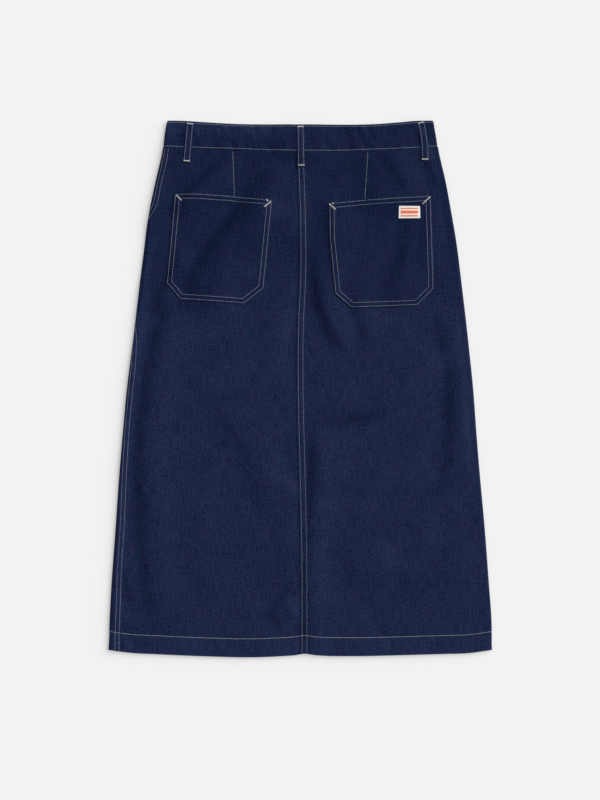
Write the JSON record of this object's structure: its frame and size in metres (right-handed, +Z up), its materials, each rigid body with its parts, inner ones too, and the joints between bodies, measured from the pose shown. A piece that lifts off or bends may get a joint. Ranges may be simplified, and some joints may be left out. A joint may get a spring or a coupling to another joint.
{
  "type": "denim skirt",
  "caption": "A-line denim skirt laid flat with its back up: two-panel back with a felled centre seam, patch pockets, belt loops and a turned hem.",
  "frame": {"origin": "bottom centre of the skirt's box, on the surface that it lies on", "axes": "+Z up out of the surface, +Y along the skirt towards its waist, +X to the right of someone looking down at the back"},
  "size_m": [0.5435, 0.7608, 0.0159],
  "materials": {
    "denim": "dark indigo twill, once washed, matt",
    "label_cloth": "white woven ribbon with three plain orange stripes",
    "button_metal": "brushed, slightly worn"
  },
  "bodies": {
    "root": {"back_left": "denim", "back_right": "denim", "front_left": "denim", "front_right": "denim", "waistband": "denim", "belt_loop_left": "denim", "belt_loop_centre": "denim", "belt_loop_right": "denim", "pocket_left": "denim", "pocket_right": "denim", "pocket_label": "label_cloth", "waist_button": "button_metal"}
  },
  "joints": []
}
